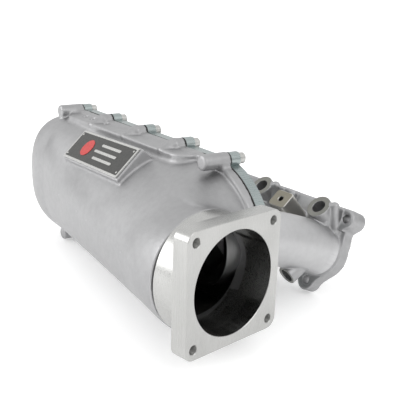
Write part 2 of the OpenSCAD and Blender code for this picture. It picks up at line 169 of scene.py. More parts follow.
def block(centre, axes, size, edge):
    """A box with rounded edges; its axes are three unit vectors."""
    def distance(p):
        q = [np.abs(along(p, centre, axes[i])) - size[i] / 2 + edge for i in range(3)]
        outside = np.sqrt(sum(np.maximum(v, 0) ** 2 for v in q))
        return outside + np.minimum(np.maximum(np.maximum(q[0], q[1]), q[2]), 0) - edge
    return distance


def slab(outline, axes, origin, low, high, edge):
    """A flat outline, given as a distance of two coordinates, thickened along the third axis."""
    def distance(p):
        u, v, w = [along(p, origin, axis) for axis in axes]
        return rounded(outline(u, v), np.abs(w - (low + high) / 2) - (high - low) / 2, edge)
    return distance


def circle2(u0, v0, r):
    return lambda u, v: np.hypot(u - u0, v - v0) - r


def box2(u0, v0, u1, v1):
    def distance(u, v):
        a = np.abs(u - (u0 + u1) / 2) - (u1 - u0) / 2
        b = np.abs(v - (v0 + v1) / 2) - (v1 - v0) / 2
        return np.hypot(np.maximum(a, 0), np.maximum(b, 0)) + np.minimum(np.maximum(a, b), 0)
    return distance


def capsule2(start, end, start_r, end_r):
    run = np.array(end, float) - np.array(start, float)

    def distance(u, v):
        t = np.clip(((u - start[0]) * run[0] + (v - start[1]) * run[1]) / run.dot(run), 0, 1)
        reach = np.hypot(u - start[0] - run[0] * t, v - start[1] - run[1] * t)
        return reach - (start_r + (end_r - start_r) * t)
    return distance


def convex2(corners):
    """A convex outline from its corners, which run anticlockwise."""
    def distance(u, v):
        sides = []
        for k, (u0, v0) in enumerate(corners):
            u1, v1 = corners[(k + 1) % len(corners)]
            length = math.hypot(u1 - u0, v1 - v0)
            sides.append(((u - u0) * (v1 - v0) - (v - v0) * (u1 - u0)) / length)
        return np.maximum.reduce(sides)
    return distance


class Casting:
    """A solid held as a grid of distances to its surface, below zero inside.
    The grid has its own origin and axes, and shapes are given in the frame."""

    def __init__(self, low, high, step, origin=(0, 0, 0), axes=((1, 0, 0), (0, 1, 0), (0, 0, 1))):
        self.step = step
        self.low = np.array(low, float)
        self.origin = np.array(origin, float)
        self.axes = np.array(axes, float)
        self.grid = [np.arange(low[i], high[i] + step, step, dtype=np.float32) for i in range(3)]
        self.value = np.full([len(g) for g in self.grid], 50, np.float32)

    def window(self, near=None, reach=20):
        """The part of the grid within reach of some points, and its own points in the frame."""
        cut = (slice(None),) * 3
        if near is not None:
            own = (np.array(near, float) - self.origin) @ self.axes.T
            ends = own.min(0) - reach, own.max(0) + reach
            cut = tuple(
                slice(*np.searchsorted(self.grid[i], [ends[0][i], ends[1][i]])) for i in range(3)
            )
        shapes = [(-1, 1, 1), (1, -1, 1), (1, 1, -1)]
        q = [self.grid[i][cut[i]].reshape(shapes[i]) for i in range(3)]
        places = []
        for i in range(3):
            terms = [q[k] * np.float32(self.axes[k][i]) for k in range(3) if self.axes[k][i]]
            places.append(sum(terms) + np.float32(self.origin[i]))
        return cut, places

    def add(self, shape, near=None, reach=20, blend=0.0):
        cut, p = self.window(near, reach)
        self.value[cut] = smooth_min(self.value[cut], shape(p), blend)

    def remove(self, shape, near=None, reach=20, blend=0.0):
        cut, p = self.window(near, reach)
        self.value[cut] = smooth_max(self.value[cut], -shape(p), blend)

    def skin(self):
        """Points in millimetres and the faces of the surface."""
        level = openvdb.FloatGrid(50.0)
        level.transform = openvdb.createLinearTransform(self.step)
        level.copyFromArray(self.value)
        points, triangles, quads = level.convertToPolygons(isovalue=0.0, adaptivity=0.0)
        points = (points + self.low) @ self.axes + self.origin
        return points, [tuple(f) for f in triangles] + [tuple(f) for f in quads]


# ---------- meshes ----------

FACE_LIMIT = 170000


def thin_mesh(piece, limit):
    """Brings a mesh under a number of triangles."""
    count = sum(len(f.vertices) - 2 for f in piece.data.polygons)
    if count <= limit:
        return
    thin = piece.modifiers.new("thin", "DECIMATE")
    thin.ratio = limit / count
    with bpy.context.temp_override(object=piece, active_object=piece):
        bpy.ops.object.modifier_apply(modifier="thin")
    piece.data.polygons.foreach_set("use_smooth", [True] * len(piece.data.polygons))


def make_piece(name, points, faces, replaces=(), slot=None, smooth=True):
    """Makes a piece from points in millimetres; it rides on the one body."""
    mesh = bpy.data.meshes.new(name)
    mesh.from_pydata([tuple(p) for p in np.array(points, float) * MM], [], faces)
    mesh.validate()
    piece = bpy.data.objects.new(name, mesh)
    bpy.context.scene.collection.objects.link(piece)
    mesh.polygons.foreach_set("use_smooth", [smooth] * len(mesh.polygons))
    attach(piece, "root")
    if replaces:
        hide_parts(*replaces)
    return piece


# ---------- plenum casting ----------

def signed_power(v, p):
    return np.sign(v) * np.abs(v) ** p


def mix(a, b, w):
    return a + (b - a) * w


def rim_reach(y):
    """Share of the way along the row, from the near round end to the far one."""
    return (y - NEAR_Y) / (FAR_Y - NEAR_Y)


def eased(w):
    """A share from 0 to 1 that starts and ends gently."""
    w = min(1, max(0, w))
    return w * w * (3 - 2 * w)


def hump(y, deep, half, u):
    """The plenum's section: u runs from 0 at the top to 1 at the bottom."""
    a = np.pi * u
    top = mix(TOP_POWER, TOP_FAR_POWER, eased((y - TOP_TURN_Y) / (FAR_Y - TOP_TURN_Y)))
    power = np.where(u < 0.5, top, LOW_POWER)
    x = SHELL_X - deep * signed_power(np.sin(a), power)
    z = RIM_Z + half * signed_power(np.cos(a), power)
    return np.stack([x, z], 1)


def round_end(r, half, u):
    """The throttle end's section: straight flanks that run into a round back."""
    def touch(rise):
        far = math.hypot(SHELL_X - NECK_X, rise)
        return math.atan2(rise, SHELL_X - NECK_X) + math.acos(min(1, r / far))
    top = touch(half + RIM_Z)
    low = 2 * math.pi - touch(half - RIM_Z)
    a = np.interp(u, [0.1, 0.2, 0.8, 0.9], [top, math.pi / 2, math.pi * 1.5, low])
    rim = np.stack([np.full(len(u), SHELL_X), RIM_Z + half * np.where(u < 0.5, 1, -1)], 1)
    flank = (np.maximum(0, 0.1 - np.minimum(u, 1 - u)) / 0.1)[:, None]
    arc = np.stack([NECK_X + r * np.cos(a), r * np.sin(a)], 1)
    return mix(arc, rim, flank)


def section(y, inset, u):
    """The plenum's section at y, pulled in by an inset."""
    near = max(0, NEAR_Y - y) / RIM_NEAR_R
    far_half = RIM_FAR_R - RIM_LIP - inset
    shrink = (1 - min(1, max(0, y - FAR_Y) / far_half) ** DOME_POWER) ** (1 / DOME_POWER)
    share = rim_reach(min(y, FAR_Y))
    half = mix(RIM_NEAR_R, RIM_FAR_R, share) - RIM_LIP - inset
    if y < NEAR_Y:
        half = RIM_NEAR_R * math.sqrt(1 - near * near) - RIM_LIP - inset
    deep = (mix(DEPTH_NEAR, DEPTH_FAR, share) - inset) * shrink
    w = eased((NECK_BLEND_Y - y) / (NECK_BLEND_Y - RIM_CUT_Y))
    return mix(hump(y, deep, half * shrink, u), round_end(NECK_R + 0.3 - inset, half, u), w)


def plenum_skin(first_y, inset, end_x):
    """A closed skin over the plenum's sections, as points and faces."""
    u = np.linspace(0, 1, 73)
    near = np.linspace(first_y, NEAR_Y, 24)
    middle = np.linspace(NEAR_Y, FAR_Y, 20)[1:-1]
    dome = FAR_Y + (RIM_FAR_R - RIM_LIP - inset) * np.sin(np.radians(np.arange(0, 89, 4)))
    rings = []
    for y in np.concatenate([near, middle, dome]):
        ring = section(float(y), inset, u)
        ring = np.vstack([[end_x, ring[0][1]], ring, [end_x, ring[-1][1]]])
        rings.append(np.insert(ring, 1, y, axis=1))
    n = len(rings[0])
    points = np.vstack(rings + [[r.mean(0)] for r in (rings[0], rings[-1])])
    first_cap = len(points) - 2
    faces = []
    for k in range(len(rings) - 1):
        for i in range(n):
            j = (i + 1) % n
            faces.append((k * n + i, k * n + j, (k + 1) * n + j))
            faces.append((k * n + i, (k + 1) * n + j, (k + 1) * n + i))
    for i in range(n):
        j = (i + 1) % n
        faces.append((first_cap, j, i))
        faces.append((first_cap + 1, (len(rings) - 1) * n + i, (len(rings) - 1) * n + j))
    return points, faces


def skin_field(casting, skin):
    """The distance to a closed skin, on a casting's grid."""
    points, faces = skin
    points = ((points - casting.low) / casting.step).astype(np.float32)
    level = openvdb.FloatGrid.createLevelSetFromPolygons(
        points, triangles=np.array(faces, np.uint32), halfWidth=14.0)
    field = np.zeros(casting.value.shape, np.float32)
    level.copyToArray(field)
    return field * casting.step


def rim_outline(inset):
    """The rim in the plane of its face: straight flanks, round ends, cut flat at the throttle."""
    hull = capsule2((NEAR_Y, RIM_Z), (FAR_Y, RIM_Z), RIM_NEAR_R - inset, RIM_FAR_R - inset)
    return lambda u, v: np.maximum(hull(u, v), RIM_CUT_Y + inset - u)


X_AXIS, Y_AXIS, Z_AXIS = np.eye(3)
THROTTLE_IN = np.array([-math.sin(THROTTLE_YAW), math.cos(THROTTLE_YAW), 0])
THROTTLE_SIDE = np.array([math.cos(THROTTLE_YAW), math.sin(THROTTLE_YAW), 0])

# The nameplate's frame: its middle, and the directions of its height, length and face
NAME_POS = np.array([-5.8, 216, 63.3])
NAME_L = 126.0
NAME_H = 36.0
NAME_TURN = (
    Matrix.Rotation(math.radians(-3.4), 3, "Z")
    @ Matrix.Rotation(math.radians(-2.7), 3, "X")
    @ Matrix.Rotation(math.radians(-43.5), 3, "Y")
)
NAME_AXES = [np.array(NAME_TURN.col[i]) for i in range(3)]


# Rails along the shell: where they start, and the radius of their rounded ends
RAIL_X = 20.0
RAIL_NEAR_Y = 112.0
RAIL_FAR_Y = 352.0
RAIL_T = 16.0
RAIL_CORNER = 17.0
RAIL_RISE = 73.0
PORTS = [(325, 7), (308, 6.5), (277, 6)]
PORT_X = 34.0
PORT_R = 3.0
END_BOSS_X = 18.0       # where the plain screw bosses begin
BOSS_X = 34.0           # where the others reach their full width
TAIL_X = 23.0           # where their tapered tails begin
TAIL_R = 2.8
TAIL_DROP = 3.0
CAST_PAST = 4.0         # how far the casting's shapes run past its face before they are cut


def rail_outline(x, y):
    corner = box2(RAIL_X + RAIL_CORNER, RAIL_NEAR_Y + RAIL_CORNER, 90, RAIL_FAR_Y - RAIL_CORNER)
    return corner(x, y) - RAIL_CORNER


def add_screw_bosses(cast, side):
    """The bosses at the two ends are plain and long; those between them taper off."""
    z = SCREW_Z[side]
    end_x = SPLIT_X + CAST_PAST
    for i, y in enumerate(SCREWS_Y):
        if i in (0, len(SCREWS_Y) - 1):
            boss = bar((0, y, z), X_AXIS, END_BOSS_R, END_BOSS_X, end_x, 2.6)
            cast.add(boss, [(END_BOSS_X, y, z), (SPLIT_X, y, z)], blend=5.0)
            continue
        reach = [(20, y, z), (SPLIT_X, y, z)]
        tail = capsule((TAIL_X, y, z - side * TAIL_DROP), (BOSS_X + 2, y, z), TAIL_R, BOSS_R)
        cast.add(tail, reach, blend=2.5)
        cast.add(bar((0, y, z), X_AXIS, BOSS_R, BOSS_X, end_x, 2.5), reach, blend=2.5)


PLENUM_LOW = (-60, 28, -82)
PLENUM_HIGH = (52, 424, 92)
PLENUM_STEP = 1.0
PAD_MARGIN = 3.4
PAD_T = 18.0
MOUTH_END_Y = 50.0      # the throttle's bore is carried on into the cavity as far as this


def plenum_casting():
    cast = Casting(PLENUM_LOW, PLENUM_HIGH, PLENUM_STEP)
    shell = skin_field(cast, plenum_skin(PLENUM_LOW[1], 0.0, SPLIT_X + CAST_PAST))
    cut, p = cast.window()
    cast.value = np.maximum(shell, SHELL_NEAR_Y - p[1])
    rim = slab(rim_outline(0), (Y_AXIS, Z_AXIS, X_AXIS), (0, 0, 0), SPLIT_X - RIM_T,
               SPLIT_X + CAST_PAST, 1.6)
    cast.add(rim, blend=1.6)
    for side in (1, -1):
        outer_z = RIM_Z + side * RAIL_RISE
        low, high = sorted((outer_z, outer_z - side * RAIL_T))
        rail = slab(rail_outline, (X_AXIS, Y_AXIS, Z_AXIS), (0, 0, 0), low, high, 2.0)
        cast.add(rail, [(RAIL_X, RAIL_NEAR_Y, outer_z), (SPLIT_X, RAIL_FAR_Y, outer_z)], 28, 4.0)
        add_screw_bosses(cast, side)
    pad_centre = NAME_POS - NAME_AXES[2] * (PAD_T / 2)
    pad = block(pad_centre, NAME_AXES, (NAME_H + PAD_MARGIN, NAME_L + PAD_MARGIN, PAD_T), 1.4)
    ends = [NAME_POS - NAME_AXES[1] * 64, NAME_POS + NAME_AXES[1] * 64]
    cast.add(pad, ends, 34, 2.5)
    for y, depth in PORTS:
        top = (PORT_X, y, RIM_Z + RAIL_RISE)
        cast.remove(bar(top, Z_AXIS, PORT_R, -depth, 4), [top], 12, 0.8)
    cavity = skin_field(cast, plenum_skin(END_WALL_Y, WALL, SPLIT_X + CAST_PAST + 2))
    cast.value = np.maximum(cast.value, -cavity)
    neck = bar((0, 0, 0), THROTTLE_IN, BORE_R, 0, MOUTH_END_Y)
    cast.remove(lambda q: np.maximum(neck(q), q[1] - MOUTH_END_Y), [(0, 40, 0)], 90)
    cut, p = cast.window()
    cast.value = np.maximum(cast.value, p[0] - SPLIT_X)
    points, faces = cast.skin()
    piece = make_piece("plenum_casting", points, faces, ["plenum_shell"], "cast_aluminium")
    # Faces on the cavity's wall take a near-black copy of the cast metal: painted shade for the unlit
    # inside of the plenum.
    inner = np.array([f.center for f in piece.data.polygons]) / MM
    index = np.clip(((inner - cast.low) / cast.step).round().astype(int), 0,
                    np.array(cavity.shape) - 1)
    dark = np.abs(cavity[tuple(index.T)]) < 1.3
    return piece, dark


# ---------- runner side castings ----------

HEAD_OUT = np.array([math.cos(HEAD_ANGLE), 0, -math.sin(HEAD_ANGLE)])
HEAD_UP = np.array([math.sin(HEAD_ANGLE), 0, math.cos(HEAD_ANGLE)])
HEAD_POS = np.array([HEAD_X, 0, HEAD_Z])
PORT_LAND_R = 29.0
STUD_R = 4.4
STUD_TOP = 39.0
STUD_BOTTOM = -34.0
STUD_TOP_OFFSET = 24.0
STUD_BOTTOM_OFFSET = 2.0
LUG_R = 10.0
LOWER_LUG_R = 11.0
RIB_OFFSET = 14.0
RIB_R = 4.6
STUD_PAD_T = 6.5
STUD_PAD_IN = 10.0
STUD_PAD_DOWN = 13.0
STUD_PAD_CORNER = 4.0
RIB_TOP = np.array([180.0, 19.0])
RIB_FOOT = np.array([187.5, -24.0])
GUSSET_OFFSET = 8.5
INJECTOR_FACE = (171.0, 17.0)
INJECTOR_R = 13.0
INJECTOR_BORE_R = 7.0
INJECTOR_BORE_DEPTH = 18.0
INJECTOR_JET_R = 5.0
LOWER_FACE = (127.0, -47.0)
LOWER_R = 10.0
LOWER_OFFSET = 7.0
LOWER_BORE_DEPTH = 12.0
LOWER_JET_R = 4.0
POST_FACE = (160.0, 15.0)
POSTS_Y = [128.0, 308.0]
POST_W = 24.0
POST_D = 20.0
POST_CORNER = 4.0
POST_LENGTH = 43.0
POST_THREAD_R = 3.0
POST_THREAD_DEPTH = 16.0
BOSS_LENGTH = 60.0      # long enough to end inside the flange or the runner
INJECTOR_FOOT = 42.0    # how much of an injector boss its own piece holds
INJECTOR_STEP = 0.6
HEAD_STEP = 1.1
SINK = 0.4              # how far a casting's fillets start below the piece that they meet


def lean_axis(lean):
    """The direction that an injector points, leaning from upright towards the plenum."""
    return np.array([-math.sin(lean), 0, math.cos(lean)])


def head_point(y, up, out=0.0):
    return HEAD_POS + HEAD_UP * up + HEAD_OUT * out + Y_AXIS * y


def stud_y(i):
    return CYLINDERS_Y[i] + SIDES[i] * STUD_TOP_OFFSET


def lower_stud_y(i):
    return CYLINDERS_Y[i] - SIDES[i] * STUD_BOTTOM_OFFSET


def upper_face(i):
    return np.array([INJECTOR_FACE[0], CYLINDERS_Y[i], INJECTOR_FACE[1]])


def lower_face(i):
    return np.array([LOWER_FACE[0], CYLINDERS_Y[i] + SIDES[i] * LOWER_OFFSET, LOWER_FACE[1]])


def runner_field(y, radius):
    """A round bar bent along one runner's arc."""
    def distance(p):
        rise = np.hypot(p[0] - BEND_X, p[2] - BEND_Z) - BEND_R
        return np.hypot(rise, p[1] - y) - radius
    return distance


def head_outline(u, v):
    """The head flange's outline: u runs along the row, v up the flange."""
    shape = capsule2((stud_y(0), STUD_TOP), (stud_y(3), STUD_TOP), LUG_R, LUG_R)(u, v)
    body = box2(CYLINDERS_Y[0], -12, CYLINDERS_Y[3], STUD_TOP)(u, v)
    shape = smooth_min(shape, body, 8)
    for i, y in enumerate(CYLINDERS_Y):
        shape = smooth_min(shape, capsule2((y, 0), (y, 12), PORT_LAND_R, PORT_LAND_R - 2)(u, v), 10)
        lug = capsule2((y, -7), (lower_stud_y(i), STUD_BOTTOM), 24, LOWER_LUG_R)
        shape = smooth_min(shape, lug(u, v), 5)
    return shape


def stud_pad_outline(i):
    """The raised pad around an upper stud, with its inner and lower sides straight."""
    across = sorted((stud_y(i) - SIDES[i] * STUD_PAD_IN, stud_y(i) + SIDES[i] * LUG_R))
    low = (across[0] + STUD_PAD_CORNER, STUD_TOP - STUD_PAD_DOWN + STUD_PAD_CORNER)
    high = (across[1] - STUD_PAD_CORNER, STUD_TOP + LUG_R - STUD_PAD_CORNER)
    square = box2(*low, *high)
    return lambda u, v: np.maximum(square(u, v) - STUD_PAD_CORNER, head_outline(u, v) + SINK)


def add_rib(cast, i):
    """The column beside a stud, with a web behind it, and a small gusset beside the boss."""
    y = CYLINDERS_Y[i] + SIDES[i] * RIB_OFFSET
    top = np.array([RIB_TOP[0], y, RIB_TOP[1]])
    foot = np.array([RIB_FOOT[0], y, RIB_FOOT[1]])
    crest = head_point(y, 48, 1)
    web = slab(convex2([tuple(RIB_FOOT), (crest[0], crest[2]), tuple(RIB_TOP)]),
               (X_AXIS, Z_AXIS, Y_AXIS), (0, y, 0), -4, 4, 0.8)
    cast.add(web, [top, foot], 24, 2.0)
    cast.add(capsule(top, foot, RIB_R, RIB_R), [top, foot], 24, 2.5)
    y = CYLINDERS_Y[i] + SIDES[i] * GUSSET_OFFSET
    gusset = slab(convex2([(166, -8), (186, -8), (181, 12)]), (X_AXIS, Z_AXIS, Y_AXIS),
                  (0, y, 0), -1.8, 1.8, 0.6)
    cast.add(gusset, [(170, y, 0), (190, y, 14)], 20, 1.5)


def head_casting():
    """The head flange with the fillets that lead to the runners, bosses and posts."""
    low = (-62, stud_y(0) - 16, -52)
    high = (HEAD_T + 3, stud_y(3) + 16, 58)
    cast = Casting(low, high, HEAD_STEP, HEAD_POS, (HEAD_OUT, Y_AXIS, HEAD_UP))
    cast.add(slab(head_outline, (Y_AXIS, HEAD_UP, HEAD_OUT), HEAD_POS, 0, HEAD_T + 3, 1.0))
    upper = lean_axis(INJECTOR_LEAN)
    lower = lean_axis(LOWER_LEAN)
    side = np.array([math.cos(INJECTOR_LEAN), 0, math.sin(INJECTOR_LEAN)])
    for i, y in enumerate(CYLINDERS_Y):
        sleeve = runner_field(y, RUNNER_R - SINK)
        back = bar(head_point(y, 0), HEAD_OUT, 60, -56, 2)
        port = [head_point(y, 0), head_point(y, 0, -40)]
        cast.add(lambda q: np.maximum(sleeve(q), back(q)), port, 46, 2.8)
        add_rib(cast, i)
        stud = head_point(stud_y(i), STUD_TOP)
        pad = slab(stud_pad_outline(i), (Y_AXIS, HEAD_UP, HEAD_OUT), HEAD_POS, -STUD_PAD_T, 4, 1.6)
        cast.add(pad, [stud], 24, 1.5)
        face = upper_face(i)
        boss = bar(face, upper, INJECTOR_R - SINK, -BOSS_LENGTH, -SINK)
        cast.add(boss, [face, head_point(y, 20)], 24, 4.0)
        face = lower_face(i)
        boss = bar(face, lower, LOWER_R - SINK, -BOSS_LENGTH, -SINK)
        cast.add(boss, [face, face - lower * 24], 20, 3.5)
    for y in POSTS_Y:
        face = np.array([POST_FACE[0], y, POST_FACE[1]])
        centre = face - upper * (POST_LENGTH / 2 + SINK)
        size = (POST_D - 2 * SINK, POST_W - 2 * SINK, POST_LENGTH)
        cast.add(block(centre, (side, Y_AXIS, upper), size, POST_CORNER), [centre], 46, 4.0)
        thread = bar(face, upper, POST_THREAD_R + SINK, -POST_THREAD_DEPTH - 3 * SINK, 4)
        cast.remove(thread, [face, face - upper * POST_THREAD_DEPTH], 12)
    for i, y in enumerate(CYLINDERS_Y):
        inside = runner_field(y, RUNNER_R - 3.5 * SINK)
        port = head_point(y, 0)
        back = bar(port, HEAD_OUT, 60, -90, -SINK)
        cast.remove(lambda q: np.maximum(inside(q), back(q)), [port, head_point(y, 0, -60)], 40)
        cast.remove(bar(port, HEAD_OUT, RUNNER_BORE, -2, 30), [port], 40)
        for stud in (head_point(stud_y(i), STUD_TOP), head_point(lower_stud_y(i), STUD_BOTTOM)):
            cast.remove(bar(stud, HEAD_OUT, STUD_R, -20, 30), [stud], 30, 0.6)
        drill(cast, upper_face(i), upper, INJECTOR_BORE_R, INJECTOR_BORE_DEPTH, INJECTOR_JET_R, SINK)
        drill(cast, lower_face(i), lower, INJECTOR_BORE_R, LOWER_BORE_DEPTH, LOWER_JET_R, SINK)
    cut, p = cast.window()
    cast.value = np.maximum(cast.value, along(p, HEAD_POS, HEAD_OUT) - HEAD_T)
    points, faces = cast.skin()
    piece = make_piece("head_flange_casting", points, faces, ["head_flange"], "cast_aluminium")
    thin_mesh(piece, FACE_LIMIT)
    return piece


def drill(cast, face, axis, radius, depth, jet, spare=0.0):
    """An injector's bore and the narrower passage behind it."""
    ends = [face, face - axis * 30]
    cast.remove(bar(face, axis, radius + spare, -depth - spare, 10), ends, 24, 0.6)
    cast.remove(bar(face, axis, jet + spare, -BOSS_LENGTH, 0), ends, 24)


def injector_boss(name, node, i, face, axis, radius, depth, jet):
    """A round boss with a machined face and bore; its foot is shaped to the runner."""
    margin = radius + 4
    cast = Casting((-margin, -margin, -INJECTOR_FOOT - 2), (margin, margin, 4), INJECTOR_STEP, face,
                   (np.cross(Y_AXIS, axis), Y_AXIS, axis))
    cast.add(bar(face, axis, radius, -BOSS_LENGTH, 0, 0.8))
    cast.remove(runner_field(CYLINDERS_Y[i], RUNNER_R - 2 * SINK))
    cut, p = cast.window()
    cast.value = np.maximum(cast.value, along(p, HEAD_POS, HEAD_OUT) - 2)
    drill(cast, face, axis, INJECTOR_BORE_R, depth, jet)
    cut, p = cast.window()
    cast.value = np.maximum(cast.value, -INJECTOR_FOOT - along(p, face, axis))
    points, faces = cast.skin()
    piece = make_piece(name, points, faces, [node], "cast_aluminium")
    use(piece, CAST, MILLED_FACE)
    reach = (np.array([f.center for f in piece.data.polygons]) / MM - face) @ axis
    facing = np.array([f.normal for f in piece.data.polygons]) @ axis
    top = (reach > -0.5) & (facing > 0.8)
    piece.data.polygons.foreach_set("material_index", top.astype(np.int32))


# ---------- machined parts ----------

def loop_points(outline):
    """Points of a closed outline made of straight runs and arcs: each corner is (u, v, radius)."""
    points = []
    count = len(outline)
    for i, (u, v, r) in enumerate(outline):
        here = Vector((u, v))
        if r == 0:
            points.append(here)
            continue
        before = (Vector(outline[i - 1][:2]) - here).normalized()
        after = (Vector(outline[(i + 1) % count][:2]) - here).normalized()
        half = before.angle(after) / 2
        start = here + before * (r / math.tan(half))
        centre = here + (before + after).normalized() * (r / math.sin(half))
        turn = Vector((1, 0)).angle_signed(start - centre)
        sweep = math.pi - 2 * half
        sign = 1 if before.cross(after) < 0 else -1
        for k in range(13):
            a = -turn + sign * sweep * k / 12
            points.append(centre + r * Vector((math.cos(a), math.sin(a))))
    return points


def ring_points(u, v, r, count=64):
    return [
        Vector((u + r * math.cos(2 * math.pi * k / count), v + r * math.sin(2 * math.pi * k / count)))
        for k in range(count)
    ]


def plate_mesh(loops, thickness, chamfer):
    """A flat plate with chamfered edges, from closed loops of points: the outside and its holes.
    It lies between 0 and its thickness on z. Returns points and faces."""
    curve = bpy.data.curves.new("plate", "CURVE")
    curve.dimensions = "2D"
    curve.fill_mode = "BOTH"
    curve.extrude = (thickness / 2 - chamfer)
    curve.bevel_depth = chamfer
    curve.bevel_resolution = 0
    curve.offset = -chamfer
    for loop in loops:
        spline = curve.splines.new("POLY")
        spline.points.add(len(loop) - 1)
        for point, p in zip(spline.points, loop):
            point.co = (p[0], p[1], 0, 1)
        spline.use_cyclic_u = True
    holder = bpy.data.objects.new("plate", curve)
    bpy.context.scene.collection.objects.link(holder)
    mesh = bpy.data.meshes.new_from_object(holder)
    points = [Vector(v.co) + Vector((0, 0, thickness / 2)) for v in mesh.vertices]
    faces = [tuple(f.vertices) for f in mesh.polygons]
    bpy.data.objects.remove(holder)
    bpy.data.curves.remove(curve)
    bpy.data.meshes.remove(mesh)
    return points, faces


def lathe(profile, count=96):
    """A closed profile of (radius, height) turned about z. Returns points and faces."""
    points = []
    for k in range(count):
        a = 2 * math.pi * k / count
        points += [(r * math.cos(a), r * math.sin(a), h) for r, h in profile]
    n = len(profile)
    faces = []
    for k in range(count):
        for i in range(n):
            j = (i + 1) % n
            m = (k + 1) % count
            faces.append((k * n + i, m * n + i, m * n + j, k * n + j))
    return points, faces


def moved(shape, origin, x_axis, y_axis, z_axis):
    """A shape with its own axes put into the frame."""
    points, faces = shape
    turn = np.stack([x_axis, y_axis, z_axis], 1)
    return (np.array(points, float) @ turn.T + np.array(origin, float)), faces


def joined(*shapes):
    points = []
    faces = []
    for shape_points, shape_faces in shapes:
        base = len(points)
        points += [tuple(p) for p in shape_points]
        faces += [tuple(i + base for i in f) for f in shape_faces]
    return points, faces


def tidy_mesh(piece, sharp=30):
    """Merges doubled points, turns the faces outward, and shades with crisp edges."""
    bm = bmesh.new()
    bm.from_mesh(piece.data)
    bmesh.ops.remove_doubles(bm, verts=bm.verts, dist=1e-6)
    bmesh.ops.recalc_face_normals(bm, faces=bm.faces)
    bm.to_mesh(piece.data)
    bm.free()
    piece.data.set_sharp_from_angle(angle=math.radians(sharp))


NECK_END = 38.0
NECK_CLEAR_X = 30.0     # past this x the neck stops short, clear of the rim's flat
NECK_CLEAR_Y = 33.4
THREAD_PITCH = 1.25
THREAD_TURNS = 11
THREAD_START = 0.9
THREAD_HEIGHT = 0.62


def thread_sleeve(radius, length):
    """The ridges of a thread inside a hole of the given radius, as rings."""
    root = radius - 0.05
    profile = [(radius + 0.3, length), (radius + 0.3, THREAD_START)]
    for k in range(THREAD_TURNS):
        profile.append((root, THREAD_START + k * THREAD_PITCH))
        profile.append((radius - THREAD_HEIGHT, THREAD_START + (k + 0.5) * THREAD_PITCH))
    profile.append((root, THREAD_START + THREAD_TURNS * THREAD_PITCH))
    return lathe(profile, 32)


def throttle_flange():
    half = FLANGE_W / 2
    pitch = BOLT_PITCH / 2
    corners = [(half, half), (-half, half), (-half, -half), (half, -half)]
    bolts = [(u, v) for u in (-pitch, pitch) for v in (-pitch, pitch)]
    loops = [loop_points([(u, v, FLANGE_CORNER) for u, v in corners]), ring_points(0, 0, BORE_R, 128)]
    loops += [ring_points(u, v, BOLT_R, 32) for u, v in bolts]
    plate = plate_mesh(loops, FLANGE_T, 0.45)
    neck = lathe([(BORE_R, 1.5), (NECK_R, 1.5), (NECK_R, NECK_END), (BORE_R, NECK_END)], 128)
    sleeves = []
    for u, v in bolts:
        points, faces = thread_sleeve(BOLT_R, FLANGE_T - 0.8)
        sleeves.append((np.array(points) + [u, v, 0], faces))
    first_thread = len(plate[1]) + len(neck[1])
    shape = joined(plate, neck, *sleeves)
    points, faces = moved(shape, (0, 0, 0), THROTTLE_SIDE, Z_AXIS * -1, THROTTLE_IN)
    past = points[:, 0] > NECK_CLEAR_X
    points[past, 1] = np.minimum(points[past, 1], NECK_CLEAR_Y)
    piece = make_piece("throttle_flange_machined", points, faces, ["throttle_flange"],
                       "machined_aluminium")
    # The bolt holes' threads take the darker thread metal, painted shade for the shadowed holes.
    use(piece, MILLED, THREAD_PAINTED_SHADE)
    threads = np.arange(len(piece.data.polygons)) >= first_thread
    piece.data.polygons.foreach_set("material_index", threads.astype(np.int32))
    tidy_mesh(piece)


def rim_loop():
    """The rim's outline as a closed loop of points: along the row and up."""
    spread = math.acos((NEAR_Y - RIM_CUT_Y) / RIM_NEAR_R)
    near = Vector((NEAR_Y, RIM_Z))
    far = Vector((FAR_Y, RIM_Z))
    loop = [far + RIM_FAR_R * heading(mix(90, -90, k / 60)) for k in range(61)]
    bottom = [far - Vector((0, RIM_FAR_R)), near - Vector((0, RIM_NEAR_R))]
    loop += [bottom[0].lerp(bottom[1], k / 80) for k in range(1, 80)]
    stop = 180 - math.degrees(spread)
    loop += [near + RIM_NEAR_R * heading(mix(-90, -stop, k / 16)) for k in range(17)]
    loop += [near + RIM_NEAR_R * heading(mix(stop, 90, k / 16)) for k in range(17)]
    top = [near + Vector((0, RIM_NEAR_R)), far + Vector((0, RIM_FAR_R))]
    return loop + [top[0].lerp(top[1], k / 80) for k in range(1, 80)]


def heading(degrees):
    a = math.radians(degrees)
    return Vector((math.cos(a), math.sin(a)))


def with_stub(loop, y, z, radius):
    """A closed outline joined with a disc that crosses it twice."""
    centre = Vector((y, z))
    held = [(p - centre).length < radius for p in loop]
    first = next(i for i in range(len(loop)) if held[i] and not held[i - 1])
    loop = loop[first:] + loop[:first]
    count = next(i for i in range(len(loop)) if (loop[i] - centre).length >= radius)
    outward = 90 if z > RIM_Z else -90
    ends = []
    for within, beyond in ((loop[0], loop[-1]), (loop[count - 1], loop[count])):
        low, high = 0.0, 1.0
        for _ in range(20):
            middle = (low + high) / 2
            if (within.lerp(beyond, middle) - centre).length < radius:
                low = middle
            else:
                high = middle
        edge = within.lerp(beyond, low) - centre
        angle = math.degrees(math.atan2(edge.y, edge.x)) - outward
        ends.append((angle + 180) % 360 - 180)
    arc = [centre + radius * heading(outward + mix(ends[0], ends[1], k / 24)) for k in range(25)]
    return arc + loop[count:]


